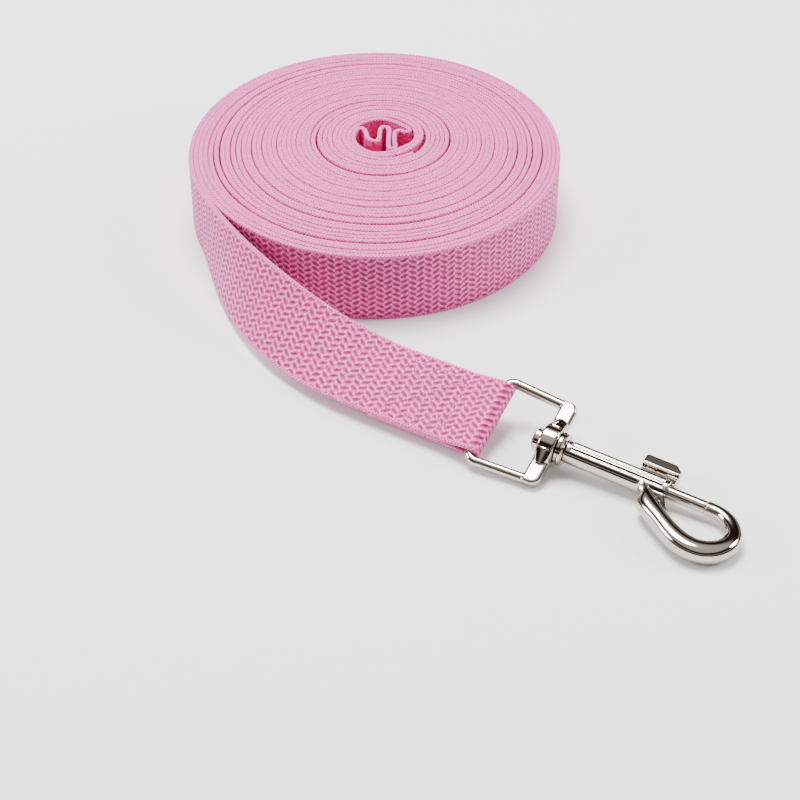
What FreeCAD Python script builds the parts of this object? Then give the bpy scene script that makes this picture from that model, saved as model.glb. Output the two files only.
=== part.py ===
import FreeCAD, Part
import math
import os

# A webbing training leash: most of its length is wound into a flat roll that
# lies on the floor, the last stretch runs out in front of the roll, and a
# swivel bolt snap hangs on the folded and stitched end. Millimetres, +Z up.
# The origin is on the roll's axis, on the face that the roll lies on.

# Webbing, one woven strip
web_width = 20.0
web_thick = 1.25
ply_gap = 0.02              # between two plies that lie on each other

# Roll
roll_radius = 50.3
loop_radius = 13.6          # outside of the turns that hold the doubled hand loop
core_radius = 8.6           # open core
core_shift = (1.9, 6.0)     # the turns are pressed together at the back, so the core sits off the axis
roll_clear = 0.03           # air between the wound turns and the hand loop's thread

# Hand loop: its bight is folded into the core as a tongue and a doubled wall
tongue_radius = 2.6
tongue_place = (-3.0, 2.6)
tongue_outer_leg = 6.0
tongue_inner_leg = 6.5
wall_place = 0.9
joined = 0.05               # overlap where two stretches of the bight are joined
core_overlap = 0.2          # the bight reaches this far into the turns round it

# Stitching
thread_high = 0.35          # thread standing proud of the webbing
thread_wide = 0.6
loop_rows = (3.0, 9.7, 16.4)
loop_stitches = 10
loop_stitch_from = -160.0   # degrees about the core
loop_stitch_step = 12.0
loop_stitch_angle = 9.0
box_back = -24.6            # ends of the stitched box, from the eye's bar
box_front = -8.6
box_side = 7.6
box_inset = 1.2             # the cross stops this short of the box
box_crossing = 1.6          # half the gap in one arm where the other crosses it
box_pitch = 2.9
stitch_share = 0.72         # a stitch's length as a share of its pitch

# Lead: the stretch from the roll to the clip
arc_start = 186.0           # degrees about the roll, where the last turn comes free
arc_end = 202.0
bar_height = 6.25           # centre of the eye's webbing bar above the floor
bar_place = (27.5, -96.0)
lead_heading = -30.0        # degrees from +X towards +Y
end_tilt = 20.0             # the flat end's tilt about its own length
straight_run = 6.0          # lead that is already straight behind the fold
first_handle = 16.0         # reach of the bend where it leaves the roll
last_handle = 36.0          # reach of the bend where it meets the straight run
lead_steps = 16

# Folded end
fold_length = 28.0
fold_apex = 7.0             # where the two plies meet behind the bar
running_gap = 0.06
flare = 0.45                # the wrap opens by this at its edges, where the wire bends away

# Square eye
wire_radius = 1.3
eye_length = 16.75          # bar centre to the middle of the hook-side band
bar_half = 11.6             # side arm centre at the webbing bar
band_half = 10.6            # side arm centre at the hook-side band
eye_corner = 3.0
band_wide = 4.3
band_thick = 2.8
band_corner = 2.4
band_round = 0.8
boss_radius = 4.9
boss_long = 4.3
boss_round = 0.7
ramp_reach = 3.4            # the boss runs out into the band over this length
ramp_step = 0.9             # the ramp starts this much lower than the boss
ramp_inset = 1.6

# Swivel stud
shank_radius = 1.6
head_radius = 3.0
head_long = 1.8
collar_radius = 4.1
collar_long = 1.9
plug_long = 3.6
end_play = 0.12
head_crown = 0.5
head_dimple = 1.3
collar_chamfer = 0.3
collar_groove = 0.35

# Hook body
clip_pitch = 3.6            # degrees that the clip's axis falls towards the hook
barrel_radius = 2.8
barrel_long = 26.0
bore_radius = 2.05
guide_long = 4.2            # narrow front of the bore that guides the plunger
slot_wide = 2.5
slot_clear = 1.1            # slot left behind the tab when it is drawn right back
barrel_round = 0.35
flute_radius = 0.42
flute_sunk = 0.14           # the flutes' centres lie this far outside the barrel
flute_inset = 1.2
hook_scale = 0.97
tip_thick = 3.3
hook_square = 0.86          # 1 is an elliptical section, less is squarer
web_of_hook_thick = 2.6
gate_gap = 9.5              # barrel end to hook tip

# Bolt
bolt_travel = 9.3
plunger_radius = 1.6
plunger_head_long = 3.0
plunger_round = 0.3
gate_air = 0.1              # plunger nose to hook tip
peg_radius = 0.8
tab_stem_long = 2.8
tab_ahead = 0.7             # the tab stands this far ahead of the middle of its stem's room
tab_long = 9.4
tab_wide = 4.4
tab_low = 4.2
tab_high = 7.4
tab_corner = 1.7
tab_heel = 0.5
tab_round = 0.4
tab_clear = 0.16            # play of the stem across the slot
peg_clear = 0.02
spring_wire = 0.28          # radius of the wire
spring_turns = 7
spring_pressed = 4.6        # room that the spring keeps when the bolt is drawn right back
spring_air = 0.05           # air at each end of the spring
spring_clear = 0.2          # air between the spring and the bore

V = FreeCAD.Vector

boss_start = eye_length - boss_long / 2
boss_end = eye_length + boss_long / 2
collar_start = boss_end + end_play
barrel_start = collar_start + collar_long
barrel_end = barrel_start + barrel_long
plug_end = barrel_start + plug_long
spring_end = plug_end + bolt_travel + spring_pressed
tip_face = barrel_end + gate_gap


def axes_placement(x_axis, y_axis, origin):
    """The placement whose local X and Y lie along the two given directions."""
    z_axis = x_axis.cross(y_axis)
    matrix = FreeCAD.Matrix(x_axis.x, y_axis.x, z_axis.x, origin.x,
                            x_axis.y, y_axis.y, z_axis.y, origin.y,
                            x_axis.z, y_axis.z, z_axis.z, origin.z,
                            0, 0, 0, 1)
    return FreeCAD.Placement(matrix)


def end_frames():
    """Placements of the folded end, the eye and the hook, all at the bar's centre."""
    turn = math.radians(lead_heading)
    tilt = math.radians(end_tilt)
    pitch = math.radians(clip_pitch)
    ahead = V(math.cos(turn), math.sin(turn), 0)
    left = V(-math.sin(turn), math.cos(turn), 0)
    up = V(0, 0, 1)
    bar = left * math.cos(tilt) + up * math.sin(tilt)
    normal = ahead.cross(bar)
    swivel = ahead * math.cos(pitch) - normal * math.sin(pitch)
    level = up.cross(swivel).normalize()
    origin = V(bar_place[0], bar_place[1], bar_height)
    fold = axes_placement(ahead, bar, origin)
    eye = axes_placement(swivel, bar, origin)
    hook = axes_placement(swivel, level, origin)
    return fold, eye, hook


def disc_ring(outer, inner, low, high):
    ring = Part.makeCylinder(outer, high - low, V(0, 0, low))
    return ring.cut(Part.makeCylinder(inner, high - low, V(0, 0, low)))


def x_cylinder(radius, start, end, y=0.0, z=0.0):
    return Part.makeCylinder(radius, end - start, V(start, y, z), V(1, 0, 0))


def round_edges(shape):
    return [edge for edge in shape.Edges if edge.Curve.TypeId == "Part::GeomCircle"]


def closed_face(edges):
    return Part.Face(Part.Wire(edges))


def webbing_roll():
    roll = Part.makeCylinder(roll_radius - web_thick / 2, web_width)
    core = Part.makeCylinder(loop_radius + thread_high + roll_clear, web_width, V(*core_shift, 0))
    return roll.cut(core)


def hand_loop():
    """The doubled loop: two turns round the core, and its bight pushed into the core."""
    turns = disc_ring(loop_radius, core_radius, 0, web_width)
    half = web_thick / 2
    middle, level = tongue_place
    tongue = disc_ring(tongue_radius + half, tongue_radius - half, 0, web_width)
    tongue.translate(V(middle, level, 0))
    upper = Part.makeBox(4 * tongue_radius, 4 * tongue_radius, web_width,
                         V(middle - 2 * tongue_radius, level, 0))
    tongue = tongue.cut(upper)
    outer_leg = Part.makeBox(web_thick, tongue_outer_leg, web_width,
                             V(middle - tongue_radius - half, level - joined, 0))
    inner_leg = Part.makeBox(web_thick, tongue_inner_leg, web_width,
                             V(middle + tongue_radius - half, level - joined, 0))
    wall = Part.makeBox(2 * web_thick, 2 * core_radius + 1, web_width,
                        V(wall_place, -core_radius - 0.5, 0))
    inside = Part.makeCylinder(core_radius + core_overlap, web_width)
    bight = tongue.fuse([outer_leg, inner_leg, wall]).common(inside)
    loop = turns.fuse(bight).removeSplitter()
    loop.translate(V(*core_shift, 0))
    return loop


def curved_thread(angle_start, angle_span, low):
    """One thread run round the outside of the hand loop's turns."""
    ring = disc_ring(loop_radius + thread_high, loop_radius, low, low + thread_wide)
    far = 3 * loop_radius
    wedge_points = [V(0, 0, low - 1)]
    for step in range(5):
        angle = math.radians(angle_start + angle_span * step / 4)
        wedge_points.append(V(far * math.cos(angle), far * math.sin(angle), low - 1))
    wedge_points.append(wedge_points[0])
    wedge = Part.Face(Part.makePolygon(wedge_points)).extrude(V(0, 0, thread_wide + 2))
    return ring.common(wedge)


def hand_loop_stitching():
    """Rows of stitches that close the hand loop, hidden between two turns."""
    stitches = []
    for low in loop_rows:
        for count in range(loop_stitches):
            start = loop_stitch_from + loop_stitch_step * count
            stitches.append(curved_thread(start, loop_stitch_angle, low))
    rows = Part.makeCompound(stitches)
    rows.translate(V(*core_shift, 0))
    return rows


def bezier(points, t):
    a, b, c, d = points
    s = 1 - t
    return a * s ** 3 + b * 3 * s * s * t + c * 3 * s * t * t + d * t ** 3


def ease(t):
    return t * t * (3 - 2 * t)


def lead_stations(fold):
    """Centre, heading and tilt of the lead's section, from the roll to the fold."""
    ahead = fold.Rotation.multVec(V(1, 0, 0))
    lift = fold.Rotation.multVec(V(0, 0, 1))
    last = fold.Base - ahead * fold_length + lift * ((web_thick + ply_gap) / 2)
    radius = roll_radius + ply_gap
    stations = []
    for step in range(3):
        angle = math.radians(arc_start + (arc_end - arc_start) * step / 3)
        stations.append((V(radius * math.cos(angle), radius * math.sin(angle), 0),
                         V(-math.sin(angle), math.cos(angle), 0)))
    angle = math.radians(arc_end)
    first = V(radius * math.cos(angle), radius * math.sin(angle), 0)
    leaving = V(-math.sin(angle), math.cos(angle), 0)
    joint = last - ahead * straight_run
    joint.z = 0
    curve = [first, first + leaving * first_handle, joint - ahead * last_handle, joint]
    free_steps = lead_steps - 4
    for step in range(free_steps + 1):
        t = step / free_steps
        here = bezier(curve, t)
        there = bezier(curve, min(t + 0.01, 1.0)) - bezier(curve, min(t + 0.01, 1.0) - 0.01)
        there.z = 0
        stations.append((here, there.normalize()))
    stations.append((V(last.x, last.y, 0), ahead))
    lengths = [0.0]
    for before, after in zip(stations, stations[1:]):
        lengths.append(lengths[-1] + (after[0] - before[0]).Length)
    twist_from = lengths[3]
    flat_from = lengths[-1]
    low_edge = last.z - web_width / 2 * math.sin(math.radians(end_tilt))
    low_edge -= web_thick / 2 * math.cos(math.radians(end_tilt))
    placed = []
    for (centre, heading), length in zip(stations, lengths):
        part = min(max((length - twist_from) / (flat_from - twist_from), 0.0), 1.0)
        share = (ease(part) + part) / 2
        tilt = math.radians(90 + (end_tilt - 90) * share)
        high = web_width / 2 * math.sin(tilt) + web_thick / 2 * math.cos(tilt) + low_edge * share
        placed.append((V(centre.x, centre.y, high), heading, tilt))
    return placed


def lead_section(centre, heading, tilt):
    left = V(-heading.y, heading.x, 0)
    across = left * math.cos(tilt) + V(0, 0, math.sin(tilt))
    through = heading.cross(across)
    corners = []
    for wide, thick in ((1, 1), (1, -1), (-1, -1), (-1, 1)):
        corners.append(centre + across * (wide * web_width / 2) + through * (thick * web_thick / 2))
    return Part.makePolygon(corners + corners[:1])


def webbing_lead(fold):
    sections = [lead_section(*station) for station in lead_stations(fold)]
    return Part.makeLoft(sections, True, True)


def end_fold():
    """Both plies and the wrap round the eye's bar, in the fold's own frame."""
    inner = wire_radius + running_gap
    outer = inner + web_thick
    slope = math.asin(inner / fold_apex)
    half = ply_gap / 2
    top = half + web_thick
    inner_x = -inner * math.sin(slope)
    inner_z = inner * math.cos(slope)
    outer_x = -outer * math.sin(slope)
    outer_z = outer * math.cos(slope)
    bend_x = outer_x - (outer_z - top) / math.tan(slope)

    def at(x, z):
        return V(x, -web_width / 2, z)

    def line(a, b):
        return Part.LineSegment(at(*a), at(*b)).toShape()

    outer_arc = Part.Arc(at(outer_x, outer_z), at(outer, 0), at(outer_x, -outer_z)).toShape()
    inner_arc = Part.Arc(at(inner_x, -inner_z), at(inner, 0), at(inner_x, inner_z)).toShape()
    edges = [line((-fold_length, top), (bend_x, top)),
             line((bend_x, top), (outer_x, outer_z)),
             outer_arc,
             line((outer_x, -outer_z), (bend_x, -top)),
             line((bend_x, -top), (-fold_length, -top)),
             line((-fold_length, -top), (-fold_length, -half)),
             line((-fold_length, -half), (-fold_apex, -half)),
             line((-fold_apex, -half), (inner_x, -inner_z)),
             inner_arc,
             line((inner_x, inner_z), (-fold_apex, half)),
             line((-fold_apex, half), (-fold_length, half)),
             line((-fold_length, half), (-fold_length, top))]
    fold = closed_face(edges).extrude(V(0, web_width, 0))
    bend_from = bar_half - eye_corner
    reach = web_width / 2 - bend_from
    for side in (1, -1):
        mouth = Part.makeCone(inner, inner + flare, reach + 0.01, V(0, side * bend_from, 0),
                              V(0, side, 0))
        fold = fold.cut(mouth)
    return fold


def stitch_run(start, end, pitch):
    """Stitches laid along a line on both faces of the doubled end."""
    along = V(end[0] - start[0], end[1] - start[1], 0)
    count = int(along.Length / pitch)
    turn = math.degrees(math.atan2(along.y, along.x))
    face = ply_gap / 2 + web_thick
    stitches = []
    for index in range(count):
        place = V(start[0], start[1], 0) + along * ((index + 0.5) / count)
        for low in (face, -face - thread_high):
            long = pitch * stitch_share
            stitch = Part.makeBox(long, thread_wide, thread_high, V(-long / 2, -thread_wide / 2, 0))
            stitch.Placement = FreeCAD.Placement(V(place.x, place.y, low),
                                                 FreeCAD.Rotation(V(0, 0, 1), turn))
            stitches.append(stitch)
    return stitches


def clip_end_stitching():
    """A stitched box with a cross in it, through both plies."""
    back, front, side = box_back, box_front, box_side
    corners = [(back, -side), (front, -side), (front, side), (back, side)]
    stitches = []
    for start, end in zip(corners, corners[1:] + corners[:1]):
        stitches += stitch_run(start, end, box_pitch)
    back, front, side = back + box_inset, front - box_inset, side - box_inset
    stitches += stitch_run((back, -side), (front, side), box_pitch)
    middle = (back + front) / 2
    rise = box_crossing * side / ((front - back) / 2)
    stitches += stitch_run((back, side), (middle - box_crossing, rise), box_pitch)
    stitches += stitch_run((middle + box_crossing, -rise), (front, -side), box_pitch)
    return Part.makeCompound(stitches)


def eye_wire():
    """The webbing bar and the two side arms, bent from one round."""
    run = eye_length
    lean = math.atan2(bar_half - band_half, run)
    corner_turn = math.pi / 2 - lean
    reach = eye_corner * math.tan(corner_turn / 2)
    arm = V(math.cos(lean), -math.sin(lean), 0)
    corner = V(0, bar_half, 0)
    arm_end = V(run, band_half, 0)
    arm_start = corner + arm * reach
    bar_start = corner - V(0, reach, 0)
    centre = bar_start + V(eye_corner, 0, 0)
    halfway = (corner - centre).normalize()
    bend = centre + halfway * eye_corner

    def mirror(point):
        return V(point.x, -point.y, 0)

    edges = [Part.LineSegment(arm_end, arm_start).toShape(),
             Part.Arc(arm_start, bend, bar_start).toShape(),
             Part.LineSegment(bar_start, mirror(bar_start)).toShape(),
             Part.Arc(mirror(bar_start), mirror(bend), mirror(arm_start)).toShape(),
             Part.LineSegment(mirror(arm_start), mirror(arm_end)).toShape()]
    path = Part.Wire(edges)
    section = Part.Wire(Part.Circle(arm_end, arm * -1, wire_radius).toShape())
    return path.makePipeShell([section], True, False)


def square_eye():
    """Round-wire eye with a flat hook-side band and a bored boss in its middle."""
    half = band_half + wire_radius
    low_x = eye_length - band_wide / 2
    band = Part.makeBox(band_wide, 2 * half, band_thick, V(low_x, -half, -band_thick / 2))
    uprights = [edge for edge in band.Edges if abs(edge.tangentAt(edge.FirstParameter).z) > 0.9
                and edge.CenterOfMass.x > eye_length]
    band = band.makeFillet(band_corner, uprights)
    rims = [edge for edge in band.Edges if abs(abs(edge.CenterOfMass.z) - band_thick / 2) < 0.01]
    band = band.makeFillet(band_round, rims)
    boss = x_cylinder(boss_radius, boss_start, boss_end)
    boss = boss.makeFillet(boss_round, round_edges(boss))
    ramps = []
    for side in (1, -1):
        ramp = Part.makeCone(boss_radius - ramp_step, band_thick / 2 - 0.1, ramp_reach,
                             V(eye_length, side * (boss_radius - ramp_inset), 0), V(0, side, 0))
        keep = Part.makeBox(band_wide - 0.4, 4 * half, 4 * boss_radius,
                            V(low_x + 0.2, -2 * half, -2 * boss_radius))
        ramps.append(ramp.common(keep))
    eye = eye_wire().fuse([band, boss] + ramps)
    eye = eye.cut(x_cylinder(shank_radius + running_gap, boss_start - 1, boss_end + 1))
    return eye.removeSplitter()


def turned(points):
    """A solid of revolution about X from (x, radius) points, closed on the axis."""
    outline = [V(x, 0, radius) for x, radius in points]
    face = Part.Face(Part.makePolygon(outline + outline[:1]))
    return face.revolve(V(0, 0, 0), V(1, 0, 0), 360)


def swivel_stud():
    """Peened head, shank, collar and the plug that is pressed into the barrel."""
    head_end = boss_start - end_play
    head_start = head_end - head_long
    groove_start = collar_start + 0.8
    groove_low = collar_radius - collar_groove
    chamfer = collar_chamfer
    points = [(head_start + head_crown, 0), (head_start, head_dimple),
              (head_start, head_radius - head_crown), (head_start + head_crown, head_radius),
              (head_end, head_radius), (head_end, shank_radius), (collar_start, shank_radius),
              (collar_start, collar_radius - chamfer), (collar_start + chamfer, collar_radius),
              (groove_start, collar_radius), (groove_start + 0.15, groove_low),
              (groove_start + 0.3, collar_radius), (barrel_start - 0.35, collar_radius - 0.1),
              (barrel_start, collar_radius - 2 * chamfer), (barrel_start, bore_radius),
              (plug_end, bore_radius), (plug_end, 0)]
    return turned(points)


def hook_stations():
    """Centre, width and thickness along the hook, from the barrel round to the tip."""
    stations = [(-9.0, -0.9, 3.4, 4.2), (-3.9, -5.0, 4.3, 4.7), (1.2, -9.4, 4.9, 5.0),
                (5.8, -12.5, 5.2, 5.0), (10.4, -14.2, 5.4, 5.0), (14.2, -13.9, 5.4, 5.0),
                (17.3, -11.8, 5.1, 4.9), (18.9, -8.6, 4.7, 4.6), (18.7, -5.3, 4.2, 4.2),
                (17.0, -2.5, 3.8, 3.8), (14.3, -0.6, 3.4, 3.5), (11.9, 0.0, 3.3, 3.3)]
    scaled = []
    for x, y, wide, thick in stations:
        scaled.append((V(barrel_end + x * hook_scale, y * hook_scale, 0), wide, thick))
    scaled.append((V(tip_face, 0, 0), tip_thick, tip_thick))
    return scaled


def hook_section(centre, along, wide, thick):
    """A full oval, a little squarer than an ellipse."""
    across = V(-along.y, along.x, 0)
    points = []
    for step in range(12):
        angle = 2 * math.pi * step / 12
        u = math.copysign(abs(math.cos(angle)) ** hook_square, math.cos(angle)) * wide / 2
        w = math.copysign(abs(math.sin(angle)) ** hook_square, math.sin(angle)) * thick / 2
        points.append(centre + across * u + V(0, 0, w))
    curve = Part.BSplineCurve()
    curve.interpolate(points, PeriodicFlag=True)
    return Part.Wire(curve.toShape())


def hook_loop():
    stations = hook_stations()
    sections = []
    last = len(stations) - 1
    for index, (centre, wide, thick) in enumerate(stations):
        before = stations[max(index - 1, 0)][0]
        after = stations[min(index + 1, last)][0]
        along = (after - before).normalize()
        if index == last:
            along = V(-1, 0, 0)
        sections.append(hook_section(centre, along, wide, thick))
    return Part.makeLoft(sections, True, False)


def hook_web():
    """The thin web that fills the corner between the barrel and the hook's root."""
    corners = [(-8.0, -1.5), (-0.2, -1.5), (0.3, -3.4), (1.6, -5.9), (4.2, -9.4), (1.0, -9.6), (-4.5, -5.0)]
    outline = [V(barrel_end + x, y, -web_of_hook_thick / 2) for x, y in corners]
    face = Part.Face(Part.makePolygon(outline + outline[:1]))
    web = face.extrude(V(0, 0, web_of_hook_thick))
    return web


def hook_body():
    """Cast barrel and hook: stepped bore, tab slot, flutes along the barrel."""
    barrel = x_cylinder(barrel_radius, barrel_start, barrel_end)
    barrel = barrel.makeFillet(barrel_round, round_edges(barrel))
    body = barrel.fuse([hook_loop(), hook_web()])
    guide_start = barrel_end - guide_long
    slot_start = barrel_end - tab_stem_long - bolt_travel - slot_clear
    cutters = [x_cylinder(bore_radius, barrel_start - 1, guide_start),
               x_cylinder(plunger_radius + running_gap, guide_start - 1, tip_face),
               Part.makeBox(barrel_end - slot_start + 1, barrel_radius + 1, slot_wide,
                            V(slot_start, 0, -slot_wide / 2))]
    flute_at = barrel_radius + flute_sunk
    for side in (1, -1):
        for angle in (62, 90, 118):
            y = -math.cos(math.radians(angle)) * flute_at
            z = side * math.sin(math.radians(angle)) * flute_at
            cutters.append(x_cylinder(flute_radius, barrel_start + flute_inset,
                                      barrel_end - flute_inset, y, z))
    for cutter in cutters:
        body = body.cut(cutter)
    return body.removeSplitter()


def plunger():
    """Gate pin with a wider guide head at its spring end and a cross hole for the tab."""
    body = x_cylinder(plunger_radius, spring_end + 1, tip_face - gate_air)
    nose = [edge for edge in round_edges(body) if edge.CenterOfMass.x > barrel_end]
    body = body.makeFillet(plunger_round, nose)
    head = x_cylinder(bore_radius - running_gap, spring_end, spring_end + plunger_head_long)
    peg = Part.makeCylinder(peg_radius, 2 * bore_radius, V(tab_middle(), 0, 0), V(0, 1, 0))
    return body.fuse(head).cut(peg).removeSplitter()


def tab_middle():
    return barrel_end - tab_stem_long / 2 + tab_ahead


def thumb_tab():
    """J-shaped thumb piece: peg and stem through the slot, pad along the barrel."""
    front = tab_middle() + tab_stem_long / 2
    back = front - tab_long
    stem_low = plunger_radius + peg_clear
    stem_wide = slot_wide - tab_clear
    stem = Part.makeBox(tab_stem_long, tab_high - stem_low - 1, stem_wide,
                        V(front - tab_stem_long, stem_low, -stem_wide / 2))
    corners = [(back, tab_low), (front, tab_low), (front, tab_high - tab_corner),
               (front - tab_corner, tab_high), (back + tab_heel, tab_high), (back, tab_high - tab_heel)]
    outline = [V(x, y, -tab_wide / 2) for x, y in corners]
    pad = Part.Face(Part.makePolygon(outline + outline[:1])).extrude(V(0, 0, tab_wide))
    rims = [edge for edge in pad.Edges if abs(abs(edge.CenterOfMass.z) - tab_wide / 2) < 0.01]
    pad = pad.makeFillet(tab_round, rims)
    peg = Part.makeCylinder(peg_radius, stem_low, V(tab_middle(), 0, 0), V(0, 1, 0))
    return pad.fuse([stem, peg]).removeSplitter()


def plunger_spring():
    """Compression spring between the stud's plug and the plunger's head."""
    mean = bore_radius - spring_clear - spring_wire
    room = spring_end - plug_end - 2 * spring_wire - 2 * spring_air
    helix = Part.makeHelix(room / spring_turns, room, mean)
    section = Part.Wire(Part.Circle(V(mean, 0, 0), V(0, 1, 0), spring_wire).toShape())
    coil = Part.Wire(helix).makePipeShell([section], True, True)
    coil.Placement = FreeCAD.Placement(V(plug_end + spring_wire + spring_air, 0, 0),
                                       FreeCAD.Rotation(V(0, 1, 0), 90))
    return coil


def moved(shape, placement):
    shape = shape.copy()
    shape.Placement = placement.multiply(shape.Placement)
    return shape


def main():
    os.makedirs("parts", exist_ok=True)
    fold, eye, hook = end_frames()
    nodes = {
        "webbing_roll": webbing_roll(),
        "hand_loop": hand_loop(),
        "hand_loop_stitching": hand_loop_stitching(),
        "webbing_lead": webbing_lead(fold),
        "end_fold": moved(end_fold(), fold),
        "clip_end_stitching": moved(clip_end_stitching(), fold),
        "square_eye": moved(square_eye(), eye),
        "swivel_stud": moved(swivel_stud(), hook),
        "hook_body": moved(hook_body(), hook),
        "plunger": moved(plunger(), hook),
        "thumb_tab": moved(thumb_tab(), hook),
        "plunger_spring": moved(plunger_spring(), hook),
    }
    for name, shape in nodes.items():
        shape.exportStep("parts/" + name + ".step")
        box = shape.BoundBox
        print(name, "valid", shape.isValid(), "solids", len(shape.Solids), "mm3", round(shape.Volume, 1),
              "z", round(box.ZMin, 2), round(box.ZMax, 2))


main()
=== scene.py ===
import bpy
import math
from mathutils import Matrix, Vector


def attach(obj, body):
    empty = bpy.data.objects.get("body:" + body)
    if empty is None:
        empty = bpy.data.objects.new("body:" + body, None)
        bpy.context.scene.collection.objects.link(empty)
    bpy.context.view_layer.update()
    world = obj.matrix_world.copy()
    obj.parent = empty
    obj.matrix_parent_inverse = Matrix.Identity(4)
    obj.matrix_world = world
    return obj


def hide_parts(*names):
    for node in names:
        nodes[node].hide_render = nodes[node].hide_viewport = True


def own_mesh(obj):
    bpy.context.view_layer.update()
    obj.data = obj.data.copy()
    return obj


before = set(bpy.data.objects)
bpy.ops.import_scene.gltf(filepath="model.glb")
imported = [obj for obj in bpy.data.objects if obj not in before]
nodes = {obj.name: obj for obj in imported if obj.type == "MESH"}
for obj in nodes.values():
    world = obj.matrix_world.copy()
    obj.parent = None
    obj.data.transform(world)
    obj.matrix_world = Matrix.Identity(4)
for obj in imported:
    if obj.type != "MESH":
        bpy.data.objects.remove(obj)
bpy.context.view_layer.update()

# Webbing training leash: a flat roll of pink webbing with the lead run out and a bolt snap on its end.
# Sizes are in millimetres and turned to metres by mm.

mm = 0.001


# Frames of the clip end, the same as in the part's source
clipEnd = {
    "bar": (27.5, -96.0, 6.25),     # centre of the eye's webbing bar
    "heading": -30.0,               # degrees from +X, the way the lead points
    "tilt": 20.0,                   # the flat end leans this much about its own length
    "pitch": 3.6,                   # degrees that the clip falls towards its hook
}


def clipAxes():
    heading = math.radians(clipEnd["heading"])
    tilt = math.radians(clipEnd["tilt"])
    pitch = math.radians(clipEnd["pitch"])
    ahead = Vector((math.cos(heading), math.sin(heading), 0))
    left = Vector((-math.sin(heading), math.cos(heading), 0))
    bar = left * math.cos(tilt) + Vector((0, 0, math.sin(tilt)))
    normal = ahead.cross(bar)
    swivel = ahead * math.cos(pitch) - normal * math.sin(pitch)
    level = Vector((0, 0, 1)).cross(swivel).normalized()
    return ahead, bar, normal, swivel, level


ahead, barAxis, normal, swivel, level = clipAxes()
barPoint = Vector(clipEnd["bar"])


def linear(code):
    # #RRGGBB as shown on a screen, turned to linear light
    values = []
    for start in (1, 3, 5):
        value = int(code[start:start + 2], 16) / 255
        values.append(value / 12.92 if value <= 0.04045 else ((value + 0.055) / 1.055) ** 2.4)
    return (*values, 1.0)


def addNode(tree, kind, inputs=(), **settings):
    node = tree.nodes.new(kind)
    for name, value in settings.items():
        setattr(node, name, value)
    for key, value in dict(inputs).items():
        if isinstance(value, bpy.types.NodeSocket):
            tree.links.new(value, node.inputs[key])
        else:
            node.inputs[key].default_value = value
    return node


def newMaterial(name):
    material = bpy.data.materials.new(name)
    material.use_nodes = True
    tree = material.node_tree
    shader = tree.nodes["Principled BSDF"]
    return material, tree, shader


def maths(tree, operation, first, second=0.0):
    return addNode(tree, "ShaderNodeMath", {0: first, 1: second}, operation=operation).outputs[0]


def meshPiece(name, points, faces):
    mesh = bpy.data.meshes.new(name)
    mesh.from_pydata(points, [], faces)
    mesh.update()
    piece = bpy.data.objects.new(name, mesh)
    bpy.context.scene.collection.objects.link(piece)
    return piece


def dress(piece, body, slot, material, *replaced):
    piece.data.materials.clear()
    piece.data.materials.append(material)
    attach(piece, body)
    if replaced:
        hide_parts(*replaced)
    return piece


cameraSet = {"place": (0.0066, -0.4352, 0.3055), "down": 49.15, "lens": 85.2, "sensor": 36}
cameraData = bpy.data.cameras.new("camera")
cameraData.lens = cameraSet["lens"]
cameraData.sensor_width = cameraSet["sensor"]
camera = bpy.data.objects.new("camera", cameraData)
camera.location = cameraSet["place"]
camera.rotation_euler = (math.radians(cameraSet["down"]), 0, 0)
bpy.context.scene.collection.objects.link(camera)
bpy.context.scene.camera = camera


web = {
    "width": 20.0,
    "thick": 1.25,
    "edge": 0.42,             # depth of the rounded selvedge
    "square": 0.5,            # 1 is an oval selvedge, less is squarer
    "ply": 1.27,              # webbing and the air between two tight turns
    "outer": 50.32,           # centre of the last turn where it leaves the roll
    "leave": 202.0,           # degrees, where the lead leaves the roll
    "loopOuter": 12.3,        # middle of the doubled turns where the hand loop is sewn
    "loopEnd": -45.0,         # degrees, the cut end of the hand loop
    "loopIn": -540.0,         # degrees, where its inner ply turns into the core
    "bightOut": -630.0,       # degrees, where the other ply comes out of the core
    "dent": 1.1,              # the first doubled turn is pressed in by this much
    "dentAt": -410.0,
    "dentWide": 38.0,
    "turns": 28,              # whole single turns round the hand loop
    "shift": (1.9, 6.0),      # the core sits this far off the roll's axis
    "loft": 1.33,             # thickness where the turns press least
    "scallop": 0.92,          # pitch of the selvedge's loops
    "scallopDeep": 0.12,
    "settle": 0.2,            # the step over the hand loop's cut end fades by this share each turn
    "stepEase": 6.0,          # and starts this sharply
    "pressed": 0.985,         # share of a turn's room that the webbing fills
    "rise": 0.14,             # the inner turns stand this much proud, and vary by riseVaries
    "riseVaries": 0.12,
    "level": 1.3,             # the outermost turns stand level, over this much of the radius
    "levelWide": 3.0,
}

# Loose turns: turns from the hand loop's end, turns that the step takes, gap in millimetres
slackTurns = [(4.4, 0.30, 0.42), (8.4, 0.35, 0.12), (11.7, 0.30, 0.16), (14.6, 0.35, 0.18),
              (17.2, 0.30, 0.22), (19.5, 0.30, 0.34), (21.3, 0.25, 0.24), (22.9, 0.22, 0.36),
              (24.5, 0.22, 0.36)]

# The hand loop's bight, folded into the core: millimetres from the roll's axis
bight = [(-7.7, 2.0), (-7.0, 3.6), (-5.9, 4.0), (-5.0, 3.0), (-4.6, 1.2), (-4.2, -0.8), (-3.1, -2.3),
         (-1.7, -2.2), (-1.0, -0.8), (-0.9, 1.2), (-0.8, 3.2), (0.0, 4.6), (1.2, 4.4), (1.75, 2.8),
         (1.6, 0.4), (1.5, -2.4), (1.6, -5.0), (2.5, -6.3), (3.4, -5.2), (3.2, -2.6), (3.1, 0.2),
         (3.5, 2.2), (4.7, 3.0), (6.2, 2.2), (7.3, 2.7), (6.9, 4.2), (5.4, 5.4), (3.9, 6.8), (2.2, 8.0)]


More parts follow.
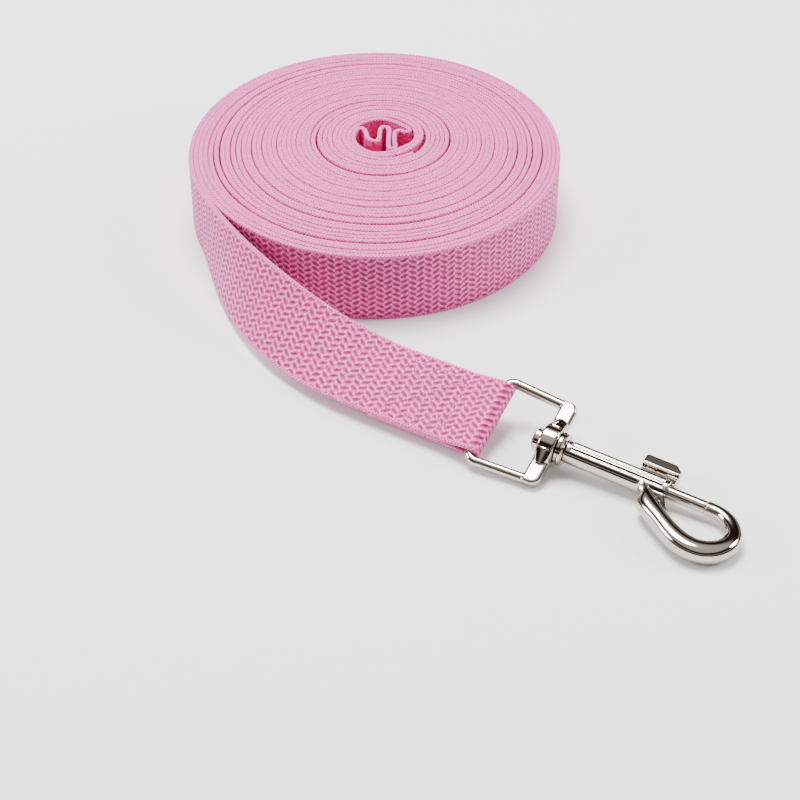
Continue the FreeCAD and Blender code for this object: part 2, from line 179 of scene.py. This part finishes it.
def polar(radius, degrees):
    angle = math.radians(degrees)
    return Vector((radius * math.cos(angle), radius * math.sin(angle), 0))


def pairRadius(degrees):
    # Middle of the hand loop's doubled turns
    radius = web["loopOuter"] + 2 * web["ply"] * (degrees - web["loopEnd"]) / 360
    return radius - web["dent"] * math.exp(-((degrees - web["dentAt"]) / web["dentWide"]) ** 2)


def smoothStep(value):
    value = min(max(value, 0.0), 1.0)
    return value * value * (3 - 2 * value)


def singleTurns():
    return web["turns"] + (web["leave"] - web["loopEnd"]) / 360


def singleRadius(turns):
    # Radius of the single turns, counted from the hand loop's cut end
    start = pairRadius(web["loopEnd"]) + web["ply"] / 2
    slackTotal = sum(gap for place, wide, gap in slackTurns)
    radius = start + (web["outer"] - start - slackTotal) * turns / singleTurns()
    for place, wide, gap in slackTurns:
        radius += gap * smoothStep((turns - place) / wide)
    part = turns % 1.0
    settled = max(0.0, 1 - web["settle"] * math.floor(turns))
    return radius - web["ply"] * (1 - part) * (1 - math.exp(-web["stepEase"] * part)) * settled


def shiftShare(radius):
    inner = pairRadius(web["loopEnd"]) + web["ply"] / 2
    return min(max((web["outer"] - radius) / (web["outer"] - inner), 0.0), 1.0)


def shifted(point):
    # The turns are pressed together at the back of the roll and lie loose in front
    share = shiftShare(point.length)
    return Vector((point.x + web["shift"][0] * share, point.y + web["shift"][1] * share, 0))


def plyThickness(place):
    # How thick the webbing is where it is pressed between its neighbours; place is before the shift
    if shiftShare(place.length) in (0.0, 1.0):
        return web["thick"]
    start = pairRadius(web["loopEnd"]) + web["ply"] / 2
    slackTotal = sum(gap for at, wide, gap in slackTurns)
    pitch = (web["outer"] - start - slackTotal) / singleTurns()
    lean = (web["shift"][0] * place.x + web["shift"][1] * place.y) / place.length
    return min(pitch * (1 - lean / (web["outer"] - start)) * web["pressed"], web["loft"])


def curveThrough(points, perSpan):
    # A smooth line through the points (Catmull-Rom), without its first and last spans
    line = []
    for a, b, c, d in zip(points, points[1:], points[2:], points[3:]):
        for step in range(perSpan):
            t = step / perSpan
            line.append(0.5 * (2 * b + (c - a) * t + (2 * a - 5 * b + 4 * c - d) * t * t
                               + (3 * b - a - 3 * c + d) * t ** 3))
    return line


lineSet = {"step": 2.5, "overlap": 14.0, "bightSpan": 8, "perTurn": 144}    # step and overlap in degrees


def rollLine():
    # The webbing's centre line from the sewn cut end, through the core, out to the lead
    half = web["ply"] / 2
    line = []
    angle = web["loopEnd"]
    while angle > web["loopIn"]:
        line.append(polar(pairRadius(angle) - half, angle))
        angle -= lineSet["step"]
    overlap = lineSet["overlap"]
    inner = [polar(pairRadius(a) - half, a) for a in (web["loopIn"] + overlap, web["loopIn"])]
    outer = [polar(pairRadius(a) + half, a) for a in (web["bightOut"], web["bightOut"] + overlap)]
    folded = [Vector((x, y, 0)) for x, y in bight]
    line += curveThrough(inner + folded + outer, lineSet["bightSpan"])
    angle = web["bightOut"]
    while angle < web["loopEnd"]:
        line.append(polar(pairRadius(angle) + half, angle))
        angle += lineSet["step"]
    steps = int(singleTurns() * lineSet["perTurn"])
    for i in range(steps + 1):
        turns = singleTurns() * i / steps
        line.append(polar(singleRadius(turns), web["loopEnd"] + 360 * turns))
    print("single turns", round(singleTurns(), 2))
    return line


fineStep = 0.24             # millimetres between sections where the selvedge's loops are modelled
leadSet = {"firstHandle": 16.0, "lastHandle": 36.0, "straight": 6.0, "fold": 28.0, "gap": 0.02,
           "wire": 1.36, "apex": 7.0, "curveSteps": 600, "straightSteps": 30}
foldSet = {"slopeShare": 0.62, "wrapSteps": 40, "flatSteps": 60, "rampSteps": 16, "rounds": 6}


def bezierPoint(a, b, c, d, t):
    s = 1 - t
    return a * s ** 3 + b * 3 * s * s * t + c * 3 * s * t * t + d * t ** 3


def leadSections(start):
    # Centre, across and through of the free lead, from the roll to the fold
    half = (web["thick"] + leadSet["gap"]) / 2
    last = barPoint - ahead * leadSet["fold"] + normal * half
    joint = last - ahead * leadSet["straight"]
    joint.z = 0
    angle = math.radians(web["leave"])
    leaving = Vector((-math.sin(angle), math.cos(angle), 0))
    reach = (start, start + leaving * leadSet["firstHandle"], joint - ahead * leadSet["lastHandle"], joint)
    curveSteps = leadSet["curveSteps"]
    straightSteps = leadSet["straightSteps"]
    fine = [bezierPoint(*reach, i / curveSteps) for i in range(curveSteps + 1)]
    fine += [joint + ahead * (leadSet["straight"] * i / straightSteps) for i in range(1, straightSteps + 1)]
    line = resample(fine, lambda point, left: fineStep)
    tilt = math.radians(clipEnd["tilt"])
    low = last.z - web["width"] / 2 * math.sin(tilt) - web["thick"] / 2 * math.cos(tilt)
    sections = []
    for index, point in enumerate(line):
        part = index / (len(line) - 1)
        share = (smoothStep(part) + part) / 2
        lean = math.pi / 2 + (tilt - math.pi / 2) * share
        high = web["width"] / 2 * math.sin(lean) + web["thick"] / 2 * math.cos(lean) + low * share
        before = line[max(index - 1, 0)]
        after = line[min(index + 1, len(line) - 1)]
        heading = (after - before).normalized()
        side = Vector((-heading.y, heading.x, 0))
        across = side * math.cos(lean) + Vector((0, 0, math.sin(lean)))
        sections.append((Vector((point.x, point.y, high)), across, heading.cross(across), web["thick"]))
    return sections


def foldSections():
    # Both plies of the sewn end and the wrap round the eye's bar
    half = (web["thick"] + leadSet["gap"]) / 2
    radius = leadSet["wire"] + web["thick"] / 2
    slope = math.asin(radius / leadSet["apex"]) * foldSet["slopeShare"]
    turn = math.pi / 2 + slope
    wrapSteps = foldSet["wrapSteps"]
    flatSteps = foldSet["flatSteps"]
    rampSteps = foldSet["rampSteps"]
    turned = [turn - (2 * turn) * i / wrapSteps for i in range(wrapSteps + 1)]
    wrap = [(radius * math.cos(angle), radius * math.sin(angle)) for angle in turned]
    tip = Vector((wrap[0][0], wrap[0][1], 0))
    entry = tip.x - (tip.y - half) / math.tan(slope)
    upper = [(-leadSet["fold"] + (entry + leadSet["fold"]) * i / flatSteps, half) for i in range(flatSteps)]
    ramp = [(entry + (tip.x - entry) * i / rampSteps, half + (tip.y - half) * i / rampSteps)
            for i in range(rampSteps)]
    halfLine = upper + ramp
    flat = halfLine + wrap + [(x, -z) for x, z in reversed(halfLine)]
    # the corners where the plies leave the bar are eased, and the round wrap is left as it is
    eased = flatSteps + rampSteps - 2
    smooth = list(flat)
    for smoothing in range(foldSet["rounds"]):
        middle = []
        for i in range(1, len(flat) - 1):
            if i < eased or i > len(flat) - 1 - eased:
                before, here, after = smooth[i - 1:i + 2]
                middle.append(((before[0] + here[0] + after[0]) / 3, (before[1] + here[1] + after[1]) / 3))
            else:
                middle.append(smooth[i])
        smooth = [flat[0]] + middle + [flat[-1]]
    line = resample([Vector((x, z, 0)) for x, z in smooth], lambda point, left: fineStep)
    sections = []
    for index, point in enumerate(line):
        before = line[max(index - 1, 0)]
        after = line[min(index + 1, len(line) - 1)]
        step = (after - before).normalized()
        heading = ahead * step.x + normal * step.y
        place = barPoint + ahead * point.x + normal * point.y
        sections.append((place, barAxis.copy(), heading.cross(barAxis), web["thick"]))
    return sections


def resample(line, spacing):
    # Points along the line, a chosen distance apart
    lengths = [0.0]
    for a, b in zip(line, line[1:]):
        lengths.append(lengths[-1] + (b - a).length)
    total = lengths[-1]
    result = [line[0].copy()]
    at = 0.0
    span = 0
    while True:
        while span < len(line) - 2 and lengths[span + 1] < at:
            span += 1
        at += spacing(line[span], total - at)
        if at >= total - 1e-6:
            break
        while span < len(line) - 2 and lengths[span + 1] < at:
            span += 1
        share = (at - lengths[span]) / max(lengths[span + 1] - lengths[span], 1e-9)
        result.append(line[span].lerp(line[span + 1], share))
    result.append(line[-1].copy())
    return result


# Inside the roll the sections are this share of the radius apart, in millimetres between least and most
coarse = {"share": 0.098, "least": 0.7, "most": 5.0}


def rollSections():
    fineLength = 2 * math.pi * web["outer"]

    def spacing(point, left):
        if left < fineLength:
            return fineStep
        return min(max(point.length * coarse["share"], coarse["least"]), coarse["most"])

    plain = resample(rollLine(), spacing)
    line = [shifted(point) for point in plain]
    sections = []
    for index, point in enumerate(line):
        before = line[max(index - 1, 0)]
        after = line[min(index + 1, len(line) - 1)]
        heading = (after - before).normalized()
        radius = plain[index].length
        rise = web["rise"] + web["riseVaries"] * math.sin(radius * 1.9)
        rise *= smoothStep((web["outer"] - web["level"] - radius) / web["levelWide"])
        centre = Vector((point.x, point.y, web["width"] / 2 + rise))
        upright = Vector((0, 0, 1))
        sections.append((centre, upright, heading.cross(upright), plyThickness(plain[index])))
    return sections


# deepFrom and deepOver are depths from the selvedge over which the painted gap shade fades in; the last is
# its greatest share
sectionSet = {"faceSteps": 5, "edgeSteps": 6, "deepFrom": 0.3, "deepOver": 0.5, "gapShadeMost": 0.9}


def webSection():
    # outline across (millimetres) and through (share of half the thickness), and the distance round it
    flat = web["width"] / 2 - web["edge"]
    near = flat - web["edge"]
    faceSteps = sectionSet["faceSteps"]
    edgeSteps = sectionSet["edgeSteps"]
    face = [flat] + [near - 2 * near * i / faceSteps for i in range(faceSteps + 1)] + [-flat]
    curve = []
    for i in range(1, edgeSteps):
        turn = math.pi * i / edgeSteps
        rounded = math.copysign(abs(math.cos(turn)) ** web["square"], math.cos(turn))
        curve.append((flat + web["edge"] * math.sin(turn) ** web["square"], rounded))
    outline = [(wide, 1.0) for wide in face] + [(-wide, high) for wide, high in curve]
    outline += [(-wide, -1.0) for wide in face] + [(wide, -high) for wide, high in curve]
    girth = [0.0]
    half = web["thick"] / 2
    for (a, b), (c, d) in zip(outline, outline[1:] + outline[:1]):
        girth.append(girth[-1] + math.hypot(c - a, (d - b) * half))
    return outline, girth


def webbingStrip(name, sections, hiddenTo):
    outline, girth = webSection()
    count = len(outline)
    flat = web["width"] / 2 - web["edge"]
    points = []
    lengths = [0.0]
    for index, (centre, across, through, thick) in enumerate(sections):
        if index:
            lengths.append(lengths[-1] + (centre - sections[index - 1][0]).length)
        wave = web["scallopDeep"] * (math.cos(2 * math.pi * lengths[-1] / web["scallop"]) - 1) / 2
        for wide, high in outline:
            reach = wide
            if abs(wide) > flat + 0.01:
                reach += math.copysign(wave, wide)
            points.append((centre + across * reach + through * (high * thick / 2)) * mm)
    faces = []
    for index in range(len(sections) - 1):
        for j in range(count):
            k = (j + 1) % count
            here = index * count
            following = here + count
            faces.append((here + j, here + k, following + k, following + j))
    lastRing = (len(sections) - 1) * count
    faces.append(tuple(range(count - 1, -1, -1)))
    faces.append(tuple(lastRing + j for j in range(count)))
    piece = meshPiece(name, points, faces)
    layer = piece.data.uv_layers.new(name="weave")
    loop = 0
    for index in range(len(sections) - 1):
        for j in range(count):
            low, high = lengths[index] * mm, lengths[index + 1] * mm
            for u, v in ((girth[j], low), (girth[j + 1], low), (girth[j + 1], high), (girth[j], high)):
                layer.data[loop].uv = (u * mm, v)
                loop += 1
    for ringLength in (lengths[0], lengths[-1]):
        for j in range(count):
            layer.data[loop].uv = (0.019 + 0.001 * math.sin(j), ringLength * mm)
            loop += 1
    onEdge = piece.data.attributes.new("selvedge", "FLOAT", "POINT")
    inner = piece.data.attributes.new("inner", "FLOAT", "POINT")
    edgeValues = []
    gapShadeValues = []
    for index in range(len(sections)):
        for wide, high in outline:
            edgeValues.append(1.0 if abs(wide) > flat - 0.01 else 0.0)
            # painted shade: faces hidden between the inner turns get the deep pink gap colour, more of it the
            # deeper they lie from the selvedge
            depth = web["width"] / 2 - abs(wide)
            share = smoothStep((depth - sectionSet["deepFrom"]) / sectionSet["deepOver"])
            gapShadeValues.append(share * sectionSet["gapShadeMost"] if index < hiddenTo else 0.0)
    onEdge.data.foreach_set("value", edgeValues)
    inner.data.foreach_set("value", gapShadeValues)
    return piece, lengths[-1]


def webbingMaterial(name, look):
    # woven polypropylene webbing: floats in a herringbone about two millimetres wide, looped selvedges
    material, tree, shader = newMaterial(name)
    uv = addNode(tree, "ShaderNodeUVMap", uv_map="weave").outputs[0]
    parts = addNode(tree, "ShaderNodeSeparateXYZ", {0: uv})
    girth, along = parts.outputs[0], parts.outputs[1]

    # herringbone floats on both faces
    columns = maths(tree, "MULTIPLY", along, 1 / (look["column"] * mm))
    inColumn = maths(tree, "MULTIPLY", maths(tree, "PINGPONG", columns, 1.0), look["slant"])
    stagger = maths(tree, "MULTIPLY", maths(tree, "FLOOR", columns), look["stagger"])
    rows = maths(tree, "MULTIPLY", girth, 1 / (look["row"] * mm))
    slanted = maths(tree, "ADD", rows, maths(tree, "ADD", inColumn, stagger))
    stripe = maths(tree, "SINE", maths(tree, "MULTIPLY", slanted, 2 * math.pi))
    rib = maths(tree, "COSINE", maths(tree, "MULTIPLY", columns, 2 * math.pi))
    floats = maths(tree, "ADD", maths(tree, "MULTIPLY", stripe, look["float"]),
                   maths(tree, "MULTIPLY", rib, look["rib"]))

    # weft loops round the selvedges
    loopsAlong = maths(tree, "SINE", maths(tree, "MULTIPLY", along, 2 * math.pi / (web["scallop"] * mm)))
    loopsAcross = maths(tree, "SINE", maths(tree, "MULTIPLY", girth, 2 * math.pi / (look["loopRound"] * mm)))
    loops = maths(tree, "MULTIPLY", maths(tree, "MULTIPLY", loopsAlong, loopsAcross), look["loop"])
    # the lift moves the selvedge's loops up the ramp and paints them lighter: partly their own paleness and
    # partly painted light on the roll's top
    loops = maths(tree, "ADD", loops, look["loopLitLift"])
    onEdge = addNode(tree, "ShaderNodeAttribute", attribute_name="selvedge").outputs["Fac"]
    field = addNode(tree, "ShaderNodeMix", {"Factor": onEdge, "A": floats, "B": loops}).outputs[0]

    fuzz = addNode(tree, "ShaderNodeTexNoise",
                   {"Vector": uv, "Scale": 1 / (look["yarn"] * mm), "Detail": 2.0})
    rough = maths(tree, "MULTIPLY", maths(tree, "SUBTRACT", fuzz.outputs[0], 0.5), look["uneven"])
    height = maths(tree, "ADD", maths(tree, "ADD", field, 0.5), rough)
    # painted shade: the ramp colours the weave by its height, so the low yarn between the floats is painted
    # dark as shade in the hollows
    ramp = addNode(tree, "ShaderNodeValToRGB", {0: height})
    stops = ramp.color_ramp.elements
    stops[0].position = look["hollowShadeAt"]
    stops[0].color = linear(look["hollowShade"])
    stops[1].position = look["lightAt"]
    stops[1].color = linear(look["light"])
    stops.new(look["middleAt"]).color = linear(look["middle"])

    # the looped selvedge is painted paler, partly for its fluffier loops and partly as painted light on the
    # roll's top, which is lit from above; the faces hidden between the turns are painted deep pink, as
    # painted shade and the pink light through the yarn in the gaps
    paleFluffAndTopLightShare = maths(tree, "MULTIPLY", onEdge, look["paleFluffAndTopLightShare"])
    paleFluffAndTopLight = addNode(tree, "ShaderNodeMix", {"Factor": paleFluffAndTopLightShare, "A": ramp.outputs[0], "B": linear(look["paleFluffAndTopLight"])},
                  data_type="RGBA").outputs["Result"]
    # painted shade and bounced light: the faces between the turns are mixed towards deep pink
    inner = addNode(tree, "ShaderNodeAttribute", attribute_name="inner").outputs["Fac"]
    colour = addNode(tree, "ShaderNodeMix", {"Factor": inner, "A": paleFluffAndTopLight, "B": linear(look["gapShade"])},
                     data_type="RGBA").outputs["Result"]
    tree.links.new(colour, shader.inputs["Base Color"])
    bump = addNode(tree, "ShaderNodeBump",
                   {"Height": height, "Strength": look["bump"], "Distance": look["relief"] * mm})
    tree.links.new(bump.outputs[0], shader.inputs["Normal"])
    shader.inputs["Roughness"].default_value = look["rough"]
    shader.inputs["Sheen Weight"].default_value = look["sheen"]
    shader.inputs["Sheen Roughness"].default_value = 0.4
    return material


webLook = {"light": "#FF74C6", "middle": "#DA2E8A", "hollowShade": "#7A0A48", "gapShade": "#F0209A", "paleFluffAndTopLight": "#FF7CC8",
           "column": 2.06, "row": 1.70, "slant": 0.55, "stagger": 0.5, "yarn": 0.7, "uneven": 1.0,
           "relief": 0.35, "float": 0.36, "rib": 0.15, "loop": 0.62, "loopLitLift": 0.24, "loopRound": 1.02,
           "paleFluffAndTopLightShare": 0.35, "hollowShadeAt": 0.06, "middleAt": 0.54, "lightAt": 0.94, "bump": 0.9,
           "rough": 0.60, "sheen": 0.2}
pinkWebbing = webbingMaterial("wovenPolypropyleneWebbing", webLook)
rollPart = rollSections()
leadPart = leadSections(Vector((rollPart[-1][0].x, rollPart[-1][0].y, 0)))
foldPart = foldSections()
# the outermost turn is left out of the painted gap shade
lastTurn = len(rollPart) - int(2 * math.pi * web["outer"] / fineStep)
webbing, webLength = webbingStrip("webbing_strip", rollPart + leadPart[1:] + foldPart[1:], lastTurn)
dress(webbing, "webbing", "webbing", pinkWebbing, "webbing_roll", "hand_loop", "webbing_lead", "end_fold")
print("webbing", round(webLength), "mm,", len(webbing.data.polygons), "faces")
bpy.ops.object.select_all(action="DESELECT")
bpy.context.view_layer.objects.active = webbing
webbing.select_set(True)
bpy.ops.object.shade_smooth()
webbing.select_set(False)


thread = {"long": 2.1, "wide": 0.62, "high": 0.42, "pitch": 2.5, "lean": 11.0,
          "back": -24.6, "front": -8.6, "side": 7.2, "inset": 1.2,
          "loopRows": (3.3, 10.0, 16.7), "loopFrom": -160.0, "loopStep": 12.0, "loopCount": 10, "proud": 0.04}


def stitchShape():
    # One stitch
    bpy.ops.object.select_all(action="DESELECT")
    bpy.ops.mesh.primitive_uv_sphere_add(segments=10, ring_count=6, radius=1)
    stitch = bpy.context.active_object
    bpy.ops.object.mode_set(mode="EDIT")
    bpy.ops.mesh.select_all(action="SELECT")
    bpy.ops.transform.rotate(value=math.pi / 2, orient_axis="Y", center_override=(0, 0, 0))
    bpy.ops.transform.resize(value=(thread["long"] / 2, thread["wide"] / 2, thread["high"] / 2))
    bpy.ops.object.mode_set(mode="OBJECT")
    points = [vertex.co.copy() for vertex in stitch.data.vertices]
    faces = [tuple(face.vertices) for face in stitch.data.polygons]
    bpy.data.objects.remove(stitch)
    return points, faces


def sewnPiece(name, places):
    # A copy of the stitch at each place: its middle, its direction and the face it lies on
    points, faces = stitchShape()
    allPoints = []
    allFaces = []
    for number, (middle, along, up) in enumerate(places):
        side = up.cross(along)
        lean = math.radians(thread["lean"] * (1 if number % 2 else -1))
        turned = along * math.cos(lean) + side * math.sin(lean)
        aside = up.cross(turned)
        base = len(allPoints)
        for point in points:
            allPoints.append((middle + turned * point.x + aside * point.y + up * point.z) * mm)
        allFaces += [tuple(base + corner for corner in face) for face in faces]
    piece = meshPiece(name, allPoints, allFaces)
    for face in piece.data.polygons:
        face.use_smooth = True
    return piece


def boxRows():
    # Ends of the stitched rows on the folded end: a box with a cross in it
    back, front, side, inset = thread["back"], thread["front"], thread["side"], thread["inset"]
    boxCorners = [(back, -side), (front, -side), (front, side), (back, side)]
    rows = list(zip(boxCorners, boxCorners[1:] + boxCorners[:1]))
    rows.append(((back + inset, -side + inset), (front - inset, side - inset)))
    rows.append(((back + inset, side - inset), (front - inset, -side + inset)))
    return rows


def clipEndPlaces():
    face = leadSet["gap"] / 2 + web["thick"] + thread["proud"]
    places = []
    for start, end in boxRows():
        along = Vector((end[0] - start[0], end[1] - start[1]))
        count = int(along.length / thread["pitch"])
        heading = (ahead * along.x + barAxis * along.y).normalized()
        for index in range(count):
            x = start[0] + along.x * (index + 0.5) / count
            y = start[1] + along.y * (index + 0.5) / count
            for side in (1, -1):
                middle = barPoint + ahead * x + barAxis * y + normal * (face * side)
                places.append((middle, heading, normal * side))
    return places


def handLoopPlaces():
    places = []
    for high in thread["loopRows"]:
        for index in range(thread["loopCount"]):
            angle = thread["loopFrom"] + thread["loopStep"] * (index + 0.5)
            radius = pairRadius(angle) + web["ply"] / 2 + web["thick"] / 2
            middle = polar(radius, angle) + Vector((web["shift"][0], web["shift"][1], high))
            places.append((middle, polar(1.0, angle + 90), polar(1.0, angle)))
    return places


threadLook = {"hollowShade": "#A8306C", "light": "#EE6CB4", "twist": 2.5, "ridge": 0.08, "bump": 0.5, "rough": 0.6}


def threadMaterial(look):
    # polyester sewing thread, twisted: a little lighter and glossier than the webbing, ridged every 0.4 mm
    material, tree, shader = newMaterial("twistedPolyesterThread")
    place = addNode(tree, "ShaderNodeTexCoord").outputs["Object"]
    twist = addNode(tree, "ShaderNodeTexWave",
                    {"Vector": place, "Scale": 1 / (look["twist"] * mm), "Distortion": 3.0})
    # painted shade: the wave that raises the twist's ridges also colours its grooves dark, as shade in the
    # grooves
    ramp = addNode(tree, "ShaderNodeValToRGB", {0: twist.outputs["Fac"]})
    ramp.color_ramp.elements[0].color = linear(look["hollowShade"])
    ramp.color_ramp.elements[1].color = linear(look["light"])
    tree.links.new(ramp.outputs[0], shader.inputs["Base Color"])
    bump = addNode(tree, "ShaderNodeBump", {"Height": twist.outputs["Fac"], "Strength": look["bump"],
                                            "Distance": look["ridge"] * mm})
    tree.links.new(bump.outputs[0], shader.inputs["Normal"])
    shader.inputs["Roughness"].default_value = look["rough"]
    shader.inputs["Sheen Weight"].default_value = 0.1
    return material


sewingThread = threadMaterial(threadLook)
clipEndThread = dress(sewnPiece("clip_end_thread", clipEndPlaces()), "webbing", "thread", sewingThread,
                      "clip_end_stitching")
handLoopThread = dress(sewnPiece("hand_loop_thread", handLoopPlaces()), "webbing", "thread", sewingThread,
                       "hand_loop_stitching")
print("stitching sewn")


plate = {"bump": 0.12, "ripple": 0.05, "smoother": 0.7, "rougher": 1.4}     # ripple is in millimetres


def metalMaterial(name, colour, roughness, grain):
    # Bright nickel plate over a cast or turned part
    material, tree, shader = newMaterial(name)
    place = addNode(tree, "ShaderNodeTexCoord").outputs["Object"]
    noise = addNode(tree, "ShaderNodeTexNoise", {"Vector": place, "Scale": 1 / (grain * mm), "Detail": 3.0})
    ramp = addNode(tree, "ShaderNodeMapRange", {0: noise.outputs[0], 3: roughness * plate["smoother"],
                                                    4: roughness * plate["rougher"]})
    tree.links.new(ramp.outputs[0], shader.inputs["Roughness"])
    bump = addNode(tree, "ShaderNodeBump", {"Height": noise.outputs[0], "Strength": plate["bump"],
                                            "Distance": plate["ripple"] * mm})
    tree.links.new(bump.outputs[0], shader.inputs["Normal"])
    shader.inputs["Base Color"].default_value = linear(colour)
    shader.inputs["Metallic"].default_value = 1.0
    return material


castNickel = metalMaterial("nickelPlatedCasting", "#BFB4AA", 0.10, 2.5)
turnedNickel = metalMaterial("nickelPlatedSteel", "#C4BAB0", 0.08, 1.5)
springSteel = metalMaterial("springWire", "#B9B6B0", 0.25, 1.0)
castings = {
    "square_eye": {"piece": "square_eye_forged", "body": "eye", "voxel": 0.16, "passes": 4},
    "hook_body": {"piece": "hook_body_cast", "body": "hook", "voxel": 0.16, "passes": 6},
    "thumb_tab": {"piece": "thumb_tab_cast", "body": "bolt", "voxel": 0.11, "passes": 3},
}


def castPiece(nodeName, material):
    # a cast part has no sharp corner: its skin is drawn again in small facets and softened
    look = castings[nodeName]
    bpy.ops.object.select_all(action="DESELECT")
    piece = bpy.data.objects.new(look["piece"], nodes[nodeName].data.copy())
    bpy.context.scene.collection.objects.link(piece)
    piece.select_set(True)
    bpy.context.view_layer.objects.active = piece
    bpy.ops.object.mode_set(mode="EDIT")
    bpy.ops.mesh.select_all(action="SELECT")
    bpy.ops.mesh.remove_doubles(threshold=0.002 * mm)
    bpy.ops.object.mode_set(mode="OBJECT")
    remesh = piece.modifiers.new("skin", "REMESH")
    remesh.mode = "VOXEL"
    remesh.voxel_size = look["voxel"] * mm
    bpy.ops.object.modifier_apply(modifier="skin")
    smooth = piece.modifiers.new("soften", "SMOOTH")
    smooth.factor = 0.5
    smooth.iterations = look["passes"]
    bpy.ops.object.modifier_apply(modifier="soften")
    bpy.ops.object.shade_smooth()
    piece.select_set(False)
    print(piece.name, len(piece.data.polygons), "faces")
    return dress(piece, look["body"], "cast_nickel", material, nodeName)


for nodeName in castings:
    castPiece(nodeName, castNickel)
for nodeName in ("swivel_stud", "plunger"):
    nodes[nodeName].data.materials.clear()
    nodes[nodeName].data.materials.append(turnedNickel)


def coiledSpring():
    piece = bpy.data.objects.new("spring_wire_coil", nodes["plunger_spring"].data.copy())
    bpy.context.scene.collection.objects.link(piece)
    dress(piece, "hook", "spring_wire", springSteel, "plunger_spring")
    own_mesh(piece)


coiledSpring()


def makeFloor():
    bpy.ops.object.select_all(action="DESELECT")
    bpy.ops.mesh.primitive_plane_add(size=6, location=(0, 0, -0.0001))
    floor = bpy.context.active_object
    floor.name = "floor"
    material, tree, shader = newMaterial("paleFloor")
    shader.inputs["Base Color"].default_value = linear("#F4F4F4")
    shader.inputs["Roughness"].default_value = 0.7
    shader.inputs["Specular IOR Level"].default_value = 0.15
    floor.data.materials.append(material)


def areaLight(name, place, target, size, power):
    data = bpy.data.lights.new(name, "AREA")
    data.shape = "DISK"
    data.size = size
    data.energy = power
    light = bpy.data.objects.new(name, data)
    light.location = place
    light.rotation_euler = (Vector(target) - Vector(place)).to_track_quat("-Z", "Y").to_euler()
    bpy.context.scene.collection.objects.link(light)
    return light


# Colours of the surroundings by height, 0 at the horizon: panels and dark gaps that bright metal mirrors
studio = {"horizon": "#5A4E46", "zenith": "#E8E8E8", "seen": "#F6F6F6",
          "bands": ((0.08, "#241B16"), (0.27, "#241B16"), (0.32, "#CFC8C0"), (0.38, "#CFC8C0"),
                    (0.43, "#241B16"), (0.66, "#1E1612"), (0.78, "#D8D8D8"))}


def makeWorld():
    world = bpy.data.worlds.new("studio")
    world.use_nodes = True
    bpy.context.scene.world = world
    tree = world.node_tree
    background = tree.nodes["Background"]
    place = addNode(tree, "ShaderNodeTexCoord").outputs["Generated"]
    parts = addNode(tree, "ShaderNodeSeparateXYZ", {0: place})
    high = maths(tree, "MAXIMUM", parts.outputs[2], 0.0)
    ramp = addNode(tree, "ShaderNodeValToRGB", {0: high})
    stops = ramp.color_ramp.elements
    stops[0].color = linear(studio["horizon"])
    stops[1].color = linear(studio["zenith"])
    for position, code in studio["bands"]:
        stops.new(position).color = linear(code)
    seen = addNode(tree, "ShaderNodeLightPath").outputs["Is Camera Ray"]
    plain = addNode(tree, "ShaderNodeMix",
                    {"Factor": seen, "A": ramp.outputs[0], "B": linear(studio["seen"])}, data_type="RGBA")
    tree.links.new(plain.outputs["Result"], background.inputs["Color"])
    background.inputs["Strength"].default_value = 1.0


makeFloor()
makeWorld()
# name, place, target, size in metres, watts
lights = (("topLight", (-0.10, 0.25, 0.95), (0, -0.03, 0), 0.55, 26),
          ("leftLight", (-0.95, -0.10, 0.50), (0, -0.03, 0.01), 0.45, 9),
          ("rightLight", (0.95, 0.05, 0.55), (0.02, -0.05, 0.01), 0.45, 11))
for light in lights:
    areaLight(*light)

print("scene ready")
